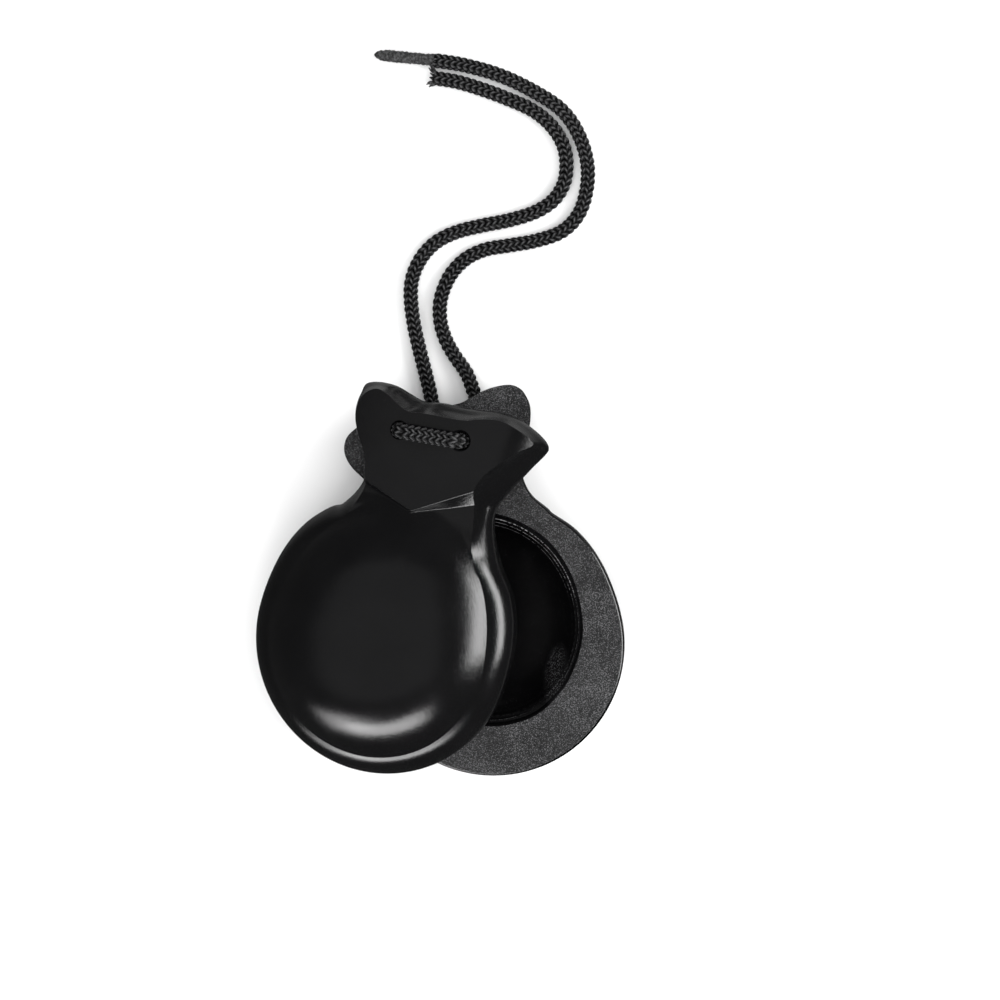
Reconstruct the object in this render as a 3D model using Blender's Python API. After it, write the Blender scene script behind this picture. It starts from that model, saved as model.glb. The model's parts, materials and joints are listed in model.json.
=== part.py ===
"""A pair of castanets lying flat, tied with one braided cord.

Two identical shells: the back shell lies hollow side up on the flat of its crown, and the front shell lies
on it hollow side down, swung aside about the neck and tilted. One cord ties them through the ears, and its
two tails lie on the table above the ears.

World frame: metres, +Z up, +Y from the back shell's bowl to its ear, origin on the table under the middle
of the back shell's bowl. Shell frame: x across, y from the bowl to the ear, z outwards from the inner face.
Lengths below are in millimetres unless the name says otherwise.
"""

import math

import bmesh
import bpy
from mathutils import Matrix, Vector

MM = 0.001
GAP = 0.3  # left between pieces that touch

# Shell
BOWL_RADIUS = 30.0
SHOULDER_SWELL = 2.9  # how far the outline leaves the bowl's circle beside the neck
SHELL_DEPTH = 14.5  # inner face to crown
FLANGE_WIDTH = 4.6  # outline to crease, round the bowl
CREASE_HEIGHT = 7.8
CROWN_SWELL = 5.6  # how far the crown reaches towards the neck, past its circle
CROWN_FLAT = 0.66  # part of the crown's radius that is flat
EAR_HEIGHT = 9.8  # outer face of the ear plate, at its middle line
EAR_CURVE = 0.0085  # the ear plate drops by this times x squared
NECK_HEIGHT = 9.2
NECK_CURVE = 0.012
CROWN_FILLET = 2.4  # softens the crown's foot on the neck
CHIN = (-1.2, 31.7)  # point of the ear plate's V; the ear is carved a little askew
CHIN_SLOPES = (-0.22, 0.62)  # of the V's left and right arms
CHIN_STEP = 0.9  # width of the step along the V
SPINE_TOP_Y = 48.0  # the outer face's rows close on the middle line, from the bowl's middle to here
SPINE_START_Y = 20.0  # the spine follows the edge of the face between these heights
SPINE_END_Y = 53.5

# The neck and ear, from neck to top on each side: outline, then edge of the raised face. A right point and
# the left point of the same place in its list lie across the neck or ear from each other.
EAR_OUTLINE_RIGHT = (
    (20.1, 26.4), (17.4, 30.6), (15.6, 34.6), (15.3, 38.2), (16.4, 41.4), (18.0, 45.0), (19.9, 49.2),
    (21.6, 52.6), (21.9, 54.4), (20.2, 56.0), (16.2, 57.6), (12.0, 58.5), (8.0, 58.2), (4.6, 57.3), (1.0, 56.6),
)
EAR_OUTLINE_LEFT = (
    (-18.9, 26.6), (-16.8, 30.2), (-16.0, 33.8), (-16.8, 37.2), (-18.4, 40.6), (-20.9, 43.8), (-22.6, 46.6),
    (-23.2, 49.4), (-23.1, 51.8), (-22.2, 54.2), (-19.8, 55.8), (-15.8, 56.0), (-12.2, 55.4), (-8.6, 54.9),
    (-4.2, 55.9),
)
EAR_FACE_RIGHT = (
    (16.0, 24.6), (13.8, 29.0), (12.6, 33.4), (11.6, 37.4), (10.7, 40.6), (11.5, 44.4), (13.9, 48.2),
    (17.0, 52.2), (19.4, 54.6), (18.2, 55.9), (14.8, 57.1), (11.6, 57.6), (8.0, 56.8), (4.6, 55.3), (1.2, 54.5),
)
EAR_FACE_LEFT = (
    (-16.2, 24.9), (-14.5, 29.2), (-13.9, 33.6), (-14.8, 37.4), (-16.6, 40.8), (-19.0, 44.2), (-20.7, 47.2),
    (-21.4, 50.0), (-21.2, 52.4), (-20.2, 54.2), (-18.0, 54.7), (-15.2, 54.3), (-11.9, 53.3), (-9.0, 52.6),
    (-5.0, 53.5),
)

# Hollow: an oval, nearer to the ear than the bowl's middle; scale of the oval and depth, rim to floor
HOLLOW_Y = 6.0
HOLLOW_HALF_WIDTH = 22.0
HOLLOW_HALF_LENGTH = 24.4
HOLLOW_PROFILE = ((1.0, 0.0), (0.965, 1.6), (0.93, 4.0), (0.82, 6.8), (0.62, 8.6), (0.32, 9.3))
HOLLOW_DEPTH = 9.4

# Cord and its holes
CORD_DIAMETER = 3.5
HOLE_DIAMETER = 5.0
HOLE_LEFT = (-9.8, 48.0)
HOLE_RIGHT = (4.5, 50.5)
STITCH_BEND = 2.3  # bend radius where the cord turns into a front hole
PASSAGE_BEND = 4.2  # bend radius under a back hole
LINK_LENGTH = 2.6  # stub of cord between the ears
CORD_SIDES = 2  # bevel resolution: 8 sides

# Where the front shell lies on the back shell
PIVOT_Y = 41.2  # on both shells' axes
PIVOT_LIFT = 4.5  # inner face above inner face, at the pivot
CLOSED_PITCH = 2.35  # degrees: swung in line, the rims come closest at the bottom of the bowls
SWIVEL_TILT = 15.0  # degrees that the swivel axis leans towards the ear
SWING = 36.0  # degrees that the front shell is swung aside
CLAP_Y = 57.5  # the shells open about the tops of their ears

BOWL_STEP = 10  # degrees between the outline's points round the bowl
SUBSTEPS = 2  # mesh points for each point of the outline

# Free routes of the two tails, on the table: (x, y, height of the middle)
LONG_TAIL = (
    (10.2, 56.8, 2.3), (9.7, 61.4, 1.9), (8.1, 66.0, 1.8), (7.1, 70.3, 1.8), (7.1, 74.8, 1.8), (8.6, 79.6, 1.8),
    (12.0, 84.0, 1.8), (16.4, 86.7, 1.8), (21.4, 87.6, 1.8), (27.3, 87.0, 1.8), (33.3, 86.4, 1.8),
    (39.6, 86.8, 1.8), (44.4, 89.6, 1.8), (47.6, 94.4, 1.8), (49.4, 100.3, 1.8), (49.2, 107.2, 1.8),
    (47.0, 113.5, 1.8), (42.2, 119.2, 1.8), (35.6, 125.0, 1.8), (28.2, 129.6, 1.8), (21.4, 132.8, 1.8),
)
SHORT_TAIL = (
    (0.2, 57.0, 2.3), (0.4, 60.4, 1.9), (0.5, 64.0, 1.8), (0.6, 69.1, 1.8), (0.9, 75.2, 1.8), (1.8, 81.2, 1.8),
    (3.4, 85.8, 1.8), (6.6, 89.7, 1.8), (10.9, 92.3, 1.8), (16.2, 93.3, 1.8), (22.5, 93.1, 1.8),
    (28.9, 92.6, 1.8), (35.1, 92.8, 1.8), (39.9, 94.4, 1.8), (43.2, 97.6, 1.8), (44.9, 102.0, 1.8),
    (45.1, 106.4, 1.8), (43.6, 111.0, 1.8), (40.5, 115.4, 1.8), (35.9, 119.3, 1.8), (30.6, 123.2, 1.8),
    (25.4, 126.5, 1.8), (20.3, 128.9, 1.8),
)
TIP_LENGTH = 13.2
TIP_DIAMETERS = (3.2, 2.9, 2.8, 2.6, 1.8)



def smooth(t):
    """0 to 1 with level ends."""
    t = min(max(t, 0.0), 1.0)
    return t * t * (3 - 2 * t)


def blend(a, b, t):
    return a + (b - a) * t


def soft_maximum(a, b, width):
    """The larger of a and b, rounded where they are within width of each other."""
    near = max(width - abs(a - b), 0.0) / width
    return max(a, b) + near * near * width / 4


# Materials and objects


def material(name, colour, roughness):
    made = bpy.data.materials.new(name)
    made.use_nodes = True
    shader = made.node_tree.nodes["Principled BSDF"]
    shader.inputs["Base Color"].default_value = (*colour, 1.0)
    shader.inputs["Roughness"].default_value = roughness
    shader.inputs["Metallic"].default_value = 0.0
    return made


def add_object(name, data, finish=None):
    made = bpy.data.objects.new(name, data)
    bpy.context.scene.collection.objects.link(made)
    if finish:
        data.materials.append(finish)
    return made


def add_axis(name, matrix):
    axis = add_object(name, None)
    axis.empty_display_size = 10 * MM
    axis.matrix_world = matrix
    return axis


def hang_on(child, parent):
    """Parents child to parent and leaves it where it is."""
    bpy.context.view_layer.update()
    place = child.matrix_world.copy()
    child.parent = parent
    child.matrix_parent_inverse = parent.matrix_world.inverted()
    child.matrix_world = place


# Shell shape


def crown_radius(angle):
    return BOWL_RADIUS - FLANGE_WIDTH + CROWN_SWELL * smooth((math.degrees(angle) - 5) / 85)


def bowl_points(side):
    """The outline and the crease from beside the bowl's bottom to beside the neck, on one side."""
    outline, face = [], []
    for degrees in range(BOWL_STEP - 90, 51, BOWL_STEP):
        angle = math.radians(degrees)
        outer = BOWL_RADIUS + SHOULDER_SWELL * smooth(degrees / 54)
        inner = crown_radius(angle)
        outline.append((side * outer * math.cos(angle), outer * math.sin(angle)))
        face.append((side * inner * math.cos(angle), inner * math.sin(angle)))
    return outline, face


def contours():
    """The outline, and the crease and raised face's edge: from the bottom up the right and down the left."""
    outline_right, face_right = bowl_points(1)
    outline_left, face_left = bowl_points(-1)
    outline = [(0.0, -BOWL_RADIUS), *outline_right, *EAR_OUTLINE_RIGHT]
    outline += [*reversed(EAR_OUTLINE_LEFT), *reversed(outline_left)]
    face = [(0.0, FLANGE_WIDTH - BOWL_RADIUS), *face_right, *EAR_FACE_RIGHT]
    face += [*reversed(EAR_FACE_LEFT), *reversed(face_left)]
    return closed_contour(outline), closed_contour(face)


def closed_contour(points):
    """A smooth closed curve through the points."""
    count = len(points)
    made = []
    for i in range(count):
        p0, p1, p2, p3 = (Vector(points[(i + k) % count]) for k in (-1, 0, 1, 2))
        for step in range(SUBSTEPS):
            t = step / SUBSTEPS
            made.append(
                0.5
                * (
                    2 * p1
                    + (p2 - p0) * t
                    + (2 * p0 - 5 * p1 + 4 * p2 - p3) * t**2
                    + (3 * p1 - p0 - 3 * p2 + p3) * t**3
                )
            )
    return made


def spine_points(face):
    """Where each row of the face ends on the middle line: a right point and its left twin share one."""
    count = len(face)
    made = []
    for i in range(count):
        y = (face[i].y + face[-i % count].y) / 2
        rise = smooth((y - SPINE_START_Y) / (SPINE_END_Y - SPINE_START_Y))
        made.append(Vector((0.0, SPINE_TOP_Y * rise)))
    return made


def outer_height(x, y):
    """Height of the crown, neck and ear plate over the inner face."""
    reach = math.hypot(x, y) / crown_radius(math.atan2(y, abs(x)))
    crown = 0.0
    if reach < 1:
        bulge = max(0.0, (reach - CROWN_FLAT) / (1 - CROWN_FLAT))
        crown = CREASE_HEIGHT + (SHELL_DEPTH - CREASE_HEIGHT) * math.sqrt(1 - bulge**2.2)
    neck = NECK_HEIGHT - NECK_CURVE * x * x
    plate = EAR_HEIGHT - EAR_CURVE * x * x
    slope = CHIN_SLOPES[1] if x > CHIN[0] else CHIN_SLOPES[0]
    step = smooth((y - CHIN[1] - slope * (x - CHIN[0])) / CHIN_STEP)
    ear = blend(neck, plate, step) if y > 20 else 0.0
    return soft_maximum(crown, ear, CROWN_FILLET)


# Across the flange: share of the way from outline to crease, and share of the crease's height. The first
# is the bead round the bowl, the second the hollowed flank of the ear.
BEAD_PROFILE = ((0.14, 0.0), (0.0, 0.34), (0.12, 0.70), (0.42, 0.93), (0.8, 1.0))
FLANK_PROFILE = ((0.12, 0.0), (0.0, 0.20), (0.22, 0.38), (0.52, 0.62), (0.82, 0.88))
FACE_ROWS = (0.04, 0.11, 0.21, 0.34, 0.6)


def ring(bm, points):
    return [bm.verts.new(Vector(point) * MM) for point in points]


def skin(bm, lower, upper):
    """Quads between two rings of the same length."""
    count = len(lower)
    for i in range(count):
        j = (i + 1) % count
        bm.faces.new((lower[i], lower[j], upper[j], upper[i]))


def shell_mesh():
    outline, face = contours()
    spine = spine_points(face)
    count = len(outline)
    bm = bmesh.new()

    rings = []
    for bead, flank in zip(BEAD_PROFILE, FLANK_PROFILE):
        points = []
        for out, edge in zip(outline, face):
            ear = smooth((out.y - 24) / 16)
            share = blend(bead[0], flank[0], ear)
            top = CREASE_HEIGHT if edge.y < 30 else outer_height(edge.x, edge.y)
            point = out.lerp(edge, share)
            points.append((point.x, point.y, top * blend(bead[1], flank[1], ear)))
        rings.append(ring(bm, points))
    for share in (0.0, *FACE_ROWS, 1.0):
        points = []
        for edge, end in zip(face, spine):
            point = edge.lerp(end, share)
            height = max(outer_height(point.x, point.y), CREASE_HEIGHT if edge.y < 30 else 0)
            points.append((point.x, point.y, height))
        rings.append(ring(bm, points))
    for lower, upper in zip(rings, rings[1:]):
        skin(bm, lower, upper)

    oval = []
    for share, depth in HOLLOW_PROFILE:
        points = []
        for i in range(count):
            angle = -math.pi / 2 + 2 * math.pi * i / count
            x = HOLLOW_HALF_WIDTH * share * math.cos(angle)
            y = HOLLOW_Y + HOLLOW_HALF_LENGTH * share * math.sin(angle)
            points.append((x, y, depth))
        oval.append(ring(bm, points))
    for lower, upper in zip(oval, oval[1:]):
        skin(bm, upper, lower)
    floor = bm.verts.new(Vector((0, HOLLOW_Y, HOLLOW_DEPTH)) * MM)
    last = oval[-1]
    for i in range(count):
        bm.faces.new((last[(i + 1) % count], last[i], floor))

    bm.edges.ensure_lookup_table()
    open_edges = [edge for edge in bm.edges if edge.is_boundary and abs(edge.verts[0].co.z) < 1e-7]
    bmesh.ops.triangle_fill(bm, edges=open_edges, use_beauty=True)
    bmesh.ops.remove_doubles(bm, verts=bm.verts, dist=0.05 * MM)
    bmesh.ops.recalc_face_normals(bm, faces=bm.faces)
    mesh = bpy.data.meshes.new("shell")
    bm.to_mesh(mesh)
    bm.free()
    mesh.shade_smooth()
    mesh.set_sharp_from_angle(angle=math.radians(35))
    return mesh


def hole_centres():
    """The two cord holes in the shell frame: left, right."""
    return [Vector(HOLE_LEFT), Vector(HOLE_RIGHT)]


def cut_holes(shell):
    """Two holes through the ear, at right angles to its inner face."""
    for side, centre in zip(("left", "right"), hole_centres()):
        bm = bmesh.new()
        bmesh.ops.create_cone(
            bm,
            cap_ends=True,
            segments=16,
            radius1=HOLE_DIAMETER / 2 * MM,
            radius2=HOLE_DIAMETER / 2 * MM,
            depth=40 * MM,
        )
        mesh = bpy.data.meshes.new("hole_" + side)
        bm.to_mesh(mesh)
        bm.free()
        cutter = add_object(shell.name + "_hole_" + side, mesh)
        cutter.matrix_world = shell.matrix_world @ Matrix.Translation(Vector((*centre, 0)) * MM)
        cutter.hide_render = True
        cutter.display_type = "WIRE"
        cut = shell.modifiers.new("hole_" + side, "BOOLEAN")
        cut.object = cutter
        cut.operation = "DIFFERENCE"
        cut.solver = "EXACT"


# Places


def back_place():
    """The back shell lies on its crown, inner face up."""
    lift = Matrix.Translation((0, 0, SHELL_DEPTH * MM))
    return lift @ Matrix.Rotation(math.pi, 4, "Y")


def swivel_axis_direction():
    lean = math.radians(SWIVEL_TILT)
    return Vector((0, math.sin(lean), math.cos(lean)))


def pivot():
    return Vector((0, PIVOT_Y, SHELL_DEPTH + PIVOT_LIFT)) * MM


def front_place():
    """The front shell swung aside: in line and closed, then turned about the leaning swivel axis."""
    swing = Matrix.Rotation(-math.radians(SWING), 4, swivel_axis_direction())
    closed = Matrix.Rotation(math.radians(CLOSED_PITCH), 4, "X")
    return Matrix.Translation(pivot()) @ swing @ closed @ Matrix.Translation((0, -PIVOT_Y * MM, 0))


# Cord


def smooth_route(route, spacing):
    """Points at about equal spacing on a smooth curve through the route's points."""
    points = [Vector(point) for point in route]
    points = [2 * points[0] - points[1], *points, 2 * points[-1] - points[-2]]
    fine = []
    for p0, p1, p2, p3 in zip(points, points[1:], points[2:], points[3:]):
        for step in range(20):
            t = step / 20
            fine.append(
                0.5
                * (
                    2 * p1
                    + (p2 - p0) * t
                    + (2 * p0 - 5 * p1 + 4 * p2 - p3) * t**2
                    + (3 * p1 - p0 - 3 * p2 + p3) * t**3
                )
            )
    fine.append(points[-2])
    along = [0.0]
    for a, b in zip(fine, fine[1:]):
        along.append(along[-1] + (b - a).length)
    count = max(2, round(along[-1] / spacing))
    made, k = [], 0
    for i in range(count + 1):
        want = along[-1] * i / count
        while k < len(along) - 2 and along[k + 1] < want:
            k += 1
        share = (want - along[k]) / (along[k + 1] - along[k])
        made.append(fine[k].lerp(fine[k + 1], min(max(share, 0.0), 1.0)))
    return made


def tube(name, points, finish, diameters=None):
    """A tube of the cord's diameter along points, with filled ends."""
    curve = bpy.data.curves.new(name, "CURVE")
    curve.dimensions = "3D"
    curve.bevel_depth = CORD_DIAMETER / 2 * MM
    curve.bevel_resolution = CORD_SIDES
    curve.use_fill_caps = True
    spline = curve.splines.new("POLY")
    spline.points.add(len(points) - 1)
    for i, point in enumerate(points):
        spline.points[i].co = (*(Vector(point) * MM), 1.0)
        if diameters:
            spline.points[i].radius = diameters[i] / CORD_DIAMETER
    spline.use_smooth = True
    return add_object(name, curve, finish)


def quarter(centre, start, end, steps=4):
    """Points on a quarter turn about centre from start to end, both given as offsets."""
    made = []
    for i in range(steps + 1):
        angle = math.pi / 2 * i / steps
        made.append(centre + start * math.cos(angle) + end * math.sin(angle))
    return made


def stitch_points():
    """Up through the front's left hole, across the plate and down the right hole, in the shell frame."""
    left, right = (Vector((*centre, 0)) for centre in hole_centres())
    across = (right - left).normalized()
    up = Vector((0, 0, 1))
    top = EAR_HEIGHT + GAP + CORD_DIAMETER / 2
    bend = up * (top - STITCH_BEND)
    rise = left + up * GAP
    first = quarter(left + bend + across * STITCH_BEND, -across * STITCH_BEND, up * STITCH_BEND)
    second = quarter(right + bend - across * STITCH_BEND, up * STITCH_BEND, across * STITCH_BEND)
    return [rise, *first, *second, right + up * GAP]


def passage_points(hole, onward, heading):
    """Down through a back hole and round under the ear, to the start of the tail."""
    drop = Vector((0, 0, -1))
    along = onward - hole
    along.z = 0
    along.normalize()
    low = Vector((hole.x, hole.y, onward.z))
    bend = low + (along - drop) * PASSAGE_BEND
    top = Vector((hole.x, hole.y, SHELL_DEPTH - GAP))
    turn = quarter(bend, -along * PASSAGE_BEND, drop * PASSAGE_BEND)
    end = onward - heading * GAP
    return [top, *turn, end - heading, end]


def build_cord(finish, back, swivel, clap, front_matrix):
    stitch = tube("cord_stitch", stitch_points(), finish)
    stitch.matrix_world = front_matrix
    hang_on(stitch, clap)

    holes = hole_centres()
    for side, centre in zip(("left", "right"), holes):
        points = [Vector((*centre, -GAP)), Vector((*centre, -GAP - LINK_LENGTH))]
        link = tube("cord_link_" + side, points, finish)
        link.matrix_world = front_matrix
        hang_on(link, swivel)

    # The back shell lies face up, so its right hole is on the left.
    tails = {"left": SHORT_TAIL, "right": LONG_TAIL}
    for side, centre in zip(("right", "left"), holes):
        hole = Vector((-centre.x, centre.y, 0))
        route = smooth_route(tails[side], 2.2 * CORD_DIAMETER)
        heading = (route[1] - route[0]).normalized()
        passage = tube("cord_back_" + side, passage_points(hole, route[0], heading), finish)
        hang_on(passage, back)
        tail = tube("cord_tail_" + side, route, finish)
        hang_on(tail, back)


def build_tip(finish, back):
    """The sealed end of the long tail: it carries the tail's line on and tapers."""
    route = smooth_route(LONG_TAIL, 2.2 * CORD_DIAMETER)
    heading = (route[-1] - route[-2]).normalized()
    start = route[-1] + heading * GAP
    count = len(TIP_DIAMETERS)
    points = [start + heading * (TIP_LENGTH * i / (count - 1)) for i in range(count)]
    tip = tube("cord_tip", points, finish, TIP_DIAMETERS)
    hang_on(tip, back)


def main():
    for old in list(bpy.data.objects):
        bpy.data.objects.remove(old, do_unlink=True)

    lacquer = material("black_lacquer", (0.012, 0.012, 0.013), 0.16)
    braid = material("black_braid", (0.02, 0.02, 0.022), 0.7)
    seal = material("sealed_cord", (0.03, 0.03, 0.032), 0.55)

    mesh = shell_mesh()
    back = add_object("back_shell", mesh, lacquer)
    back.matrix_world = back_place()
    front = add_object("front_shell", mesh)
    front.matrix_world = front_place()
    bpy.context.view_layer.update()
    cut_holes(back)
    cut_holes(front)

    direction = swivel_axis_direction()
    turn = Vector((0, 0, 1)).rotation_difference(direction).to_matrix().to_4x4()
    swivel = add_axis("swivel_axis", Matrix.Translation(pivot()) @ turn)
    clap = add_axis("clap_axis", front_place() @ Matrix.Translation((0, CLAP_Y * MM, 0)))
    hang_on(clap, swivel)
    hang_on(front, clap)

    build_cord(braid, back, swivel, clap, front_place())
    build_tip(seal, back)


main()
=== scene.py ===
"""Looks for the castanets: two black lacquered shells and one black braided cord.

Lengths are in millimetres unless the name says otherwise, and MM turns them into metres. The shells are
shaped in their own frame (x across, y from bowl to ear, z outwards from the inner face) and then placed
where the frame's joints say they lie.
"""

import json
import math

import bmesh
import bpy
import numpy as np
from mathutils import Matrix, Vector


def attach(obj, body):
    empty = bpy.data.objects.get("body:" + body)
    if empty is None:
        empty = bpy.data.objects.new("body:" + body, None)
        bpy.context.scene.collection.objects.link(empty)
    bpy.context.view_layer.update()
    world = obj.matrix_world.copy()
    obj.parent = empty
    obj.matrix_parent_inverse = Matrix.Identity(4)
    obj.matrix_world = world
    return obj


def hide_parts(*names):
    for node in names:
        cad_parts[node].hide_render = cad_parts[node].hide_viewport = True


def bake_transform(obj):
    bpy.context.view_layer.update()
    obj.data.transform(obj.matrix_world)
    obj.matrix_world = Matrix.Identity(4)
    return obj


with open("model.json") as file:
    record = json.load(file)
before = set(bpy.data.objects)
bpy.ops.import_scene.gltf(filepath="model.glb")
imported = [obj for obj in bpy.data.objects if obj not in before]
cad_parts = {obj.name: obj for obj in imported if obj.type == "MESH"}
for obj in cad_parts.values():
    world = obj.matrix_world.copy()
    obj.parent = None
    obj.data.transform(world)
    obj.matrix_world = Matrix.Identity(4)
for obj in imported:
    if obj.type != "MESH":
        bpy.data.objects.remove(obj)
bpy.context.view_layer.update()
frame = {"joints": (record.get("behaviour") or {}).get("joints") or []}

MM = 0.001
JOINTS = {joint["name"]: joint for joint in frame["joints"]}

# Camera: it looks at the middle of the object from above, a little from the ears' right
CAMERA_TARGET = Vector((9.17, 30.99, 0.0)) * MM
CAMERA_DISTANCE = 0.600
CAMERA_LENS = 93.06
PICTURE_LEAN = 15.5  # degrees from +Y to the picture's upward direction, clockwise from above
CAMERA_TILT_RIGHT = 5.0
CAMERA_TILT_UP = 2.6


def picture_directions():
    """The picture's right and up directions on the table."""
    lean = math.radians(PICTURE_LEAN)
    right = Vector((math.cos(lean), -math.sin(lean), 0))
    up = Vector((math.sin(lean), math.cos(lean), 0))
    return right, up


def toward(right_degrees, up_degrees):
    """The direction that leans from straight up by these angles, to the picture's right and top."""
    right, up = picture_directions()
    lean_right = math.tan(math.radians(right_degrees))
    lean_up = math.tan(math.radians(up_degrees))
    return (right * lean_right + up * lean_up + Vector((0, 0, 1))).normalized()


def looking_along(direction, up):
    """A rotation whose -Z looks along direction and whose +Y is as near to up as it can be."""
    back = -direction.normalized()
    across = up.cross(back).normalized()
    return Matrix((across, back.cross(across), back)).transposed().to_4x4()


def make_camera():
    data = bpy.data.cameras.new("camera")
    data.lens = CAMERA_LENS
    data.sensor_width = 36.0
    data.clip_start = 0.05
    data.clip_end = 20.0
    camera = bpy.data.objects.new("camera", data)
    bpy.context.scene.collection.objects.link(camera)
    from_target = toward(CAMERA_TILT_RIGHT, CAMERA_TILT_UP)
    turn = looking_along(-from_target, picture_directions()[1])
    camera.matrix_world = Matrix.Translation(CAMERA_TARGET + from_target * CAMERA_DISTANCE) @ turn
    bpy.context.scene.camera = camera


make_camera()


# ---------------------------------------------------------------- small helpers


def smooth(t):
    """0 to 1 with level ends, for a number or an array."""
    t = np.clip(t, 0.0, 1.0)
    return t * t * (3 - 2 * t)


def spline(points, steps, closed=False):
    """A smooth curve through points, with this many steps from each to the next."""
    p = np.asarray(points, float)
    if closed:
        p = np.vstack((p[-1], p, p[0], p[1]))
    else:
        p = np.vstack((2 * p[0] - p[1], p, 2 * p[-1] - p[-2]))
    a, b, c, d = p[:-3], p[1:-2], p[2:-1], p[3:]
    made = []
    for step in range(steps):
        t = step / steps
        made.append(
            0.5 * (2 * b + (c - a) * t + (2 * a - 5 * b + 4 * c - d) * t**2 + (3 * b - a - 3 * c + d) * t**3)
        )
    curve = np.stack(made, 1).reshape(-1, p.shape[1])
    if closed:
        return curve
    return np.vstack((curve, p[-2]))


def even(curve, spacing):
    """The same curve with points at an equal spacing near this one."""
    gaps = np.linalg.norm(np.diff(curve, axis=0), axis=1)
    along = np.concatenate(([0], np.cumsum(gaps)))
    count = max(2, int(round(along[-1] / spacing)) + 1)
    want = np.linspace(0, along[-1], count)
    return np.stack([np.interp(want, along, curve[:, k]) for k in range(curve.shape[1])], 1)


def mesh_object(name, vertices, faces, materials, place=None):
    """An object from vertices in millimetres, placed in the world and shaded smooth."""
    mesh = bpy.data.meshes.new(name)
    mesh.from_pydata((np.asarray(vertices) * MM).tolist(), [], faces)
    mesh.update()
    for material in materials:
        mesh.materials.append(material)
    mesh.shade_smooth()
    made = bpy.data.objects.new(name, mesh)
    bpy.context.scene.collection.objects.link(made)
    if place is not None:
        mesh.transform(place)
    return made


def quads(rows, count):
    """Quads between closed rows of count vertices, each row after the last."""
    made = []
    for row in range(rows - 1):
        low = row * count
        high = low + count
        for i in range(count):
            j = (i + 1) % count
            made.append((low + i, low + j, high + j, high + i))
    return made


def capped_tube(rings, first_middle, last_middle):
    """Vertices and faces of a tube round its rings, closed by a fan to a middle point at each end."""
    rows, count = rings.shape[:2]
    vertices = np.vstack((rings.reshape(-1, 3), first_middle, last_middle))
    faces = [tuple(reversed(face)) for face in quads(rows, count)]
    first, last = rows * count, rows * count + 1
    last_row = (rows - 1) * count
    for i in range(count):
        j = (i + 1) % count
        faces.append((first, i, j))
        faces.append((last, last_row + j, last_row + i))
    return vertices, faces


# ---------------------------------------------------------------- where the shells lie

SHELL_DEPTH = 14.5
PIVOT_Y = 41.2  # the swivel crosses both shells' axes here


def back_place():
    """The back shell lies on its crown, inner face up."""
    return Matrix.Translation((0, 0, SHELL_DEPTH * MM)) @ Matrix.Rotation(math.pi, 4, "Y")


def front_place():
    """The front shell's place at rest, from the frame's swivel and clap hinges."""
    swivel, clap = JOINTS["swivel"], JOINTS["clap"]
    pivot, axis = Vector(swivel["pos_m"]), Vector(swivel["axis"]).normalized()
    half_swing = math.radians(max(swivel["range_deg"]) / 2)
    swing = Matrix.Rotation(-half_swing, 4, axis)
    in_line = swing.inverted() @ (Vector(clap["pos_m"]) - pivot)
    pitch = Matrix.Rotation(math.atan2(in_line.z, in_line.y), 4, "X")
    return Matrix.Translation(pivot) @ swing @ pitch @ Matrix.Translation((0, -PIVOT_Y * MM, 0))


# ---------------------------------------------------------------- cord

CORD_DIAMETER = 3.5
HOLE_LEFT = (-9.8, 48.0)
HOLE_RIGHT = (4.5, 50.5)
EAR_HEIGHT = 9.8  # from the inner face to the top of the ear's plate

# Free routes of the two tails, on the table: (x, y, height of the middle)
LONG_TAIL = (
    (10.2, 56.8, 2.3), (9.7, 61.4, 1.9), (8.1, 66.0, 1.8), (7.1, 70.3, 1.8), (7.1, 74.8, 1.8),
    (8.6, 79.6, 1.8), (12.0, 84.0, 1.8), (16.4, 86.7, 1.8), (21.4, 87.6, 1.8), (27.3, 87.0, 1.8),
    (33.3, 86.4, 1.8), (39.6, 86.8, 1.8), (44.4, 89.6, 1.8), (47.6, 94.4, 1.8), (49.4, 100.3, 1.8),
    (49.2, 107.2, 1.8), (47.0, 113.5, 1.8), (42.2, 119.2, 1.8), (35.6, 125.0, 1.8), (28.2, 129.6, 1.8),
    (21.4, 132.8, 1.8),
)
SHORT_TAIL = (
    (0.2, 57.0, 2.3), (0.4, 60.4, 1.9), (0.5, 64.0, 1.8), (0.6, 69.1, 1.8), (0.9, 75.2, 1.8),
    (1.8, 81.2, 1.8), (3.4, 85.8, 1.8), (6.6, 89.7, 1.8), (10.9, 92.3, 1.8), (16.2, 93.3, 1.8),
    (22.5, 93.1, 1.8), (28.9, 92.6, 1.8), (35.1, 92.8, 1.8), (39.9, 94.4, 1.8), (43.2, 97.6, 1.8),
    (44.9, 102.0, 1.8), (45.1, 106.4, 1.8), (43.6, 111.0, 1.8), (40.5, 115.4, 1.8), (35.9, 119.3, 1.8),
    (30.6, 123.2, 1.8), (25.4, 126.5, 1.8), (20.3, 128.9, 1.8),
)

# The sealed tip: its turn from the tail's line in degrees, how far it starts inside the braid and reaches
# past it, its radius by share of its length, and how much flatter it is than wide
TIP_TURN = 3.3
TIP_INSIDE = 0.8
TIP_REACH = 13.6
TIP_SHARES = (0, 0.05, 0.15, 0.35, 0.6, 0.8, 0.9, 0.96, 1.0)
TIP_RADII = (1.3, 1.4, 1.28, 1.27, 1.32, 1.3, 1.1, 0.75, 0.15)
TIP_FLATNESS = 0.86
TIP_ROWS = 130
TIP_SIDES = 40

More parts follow.
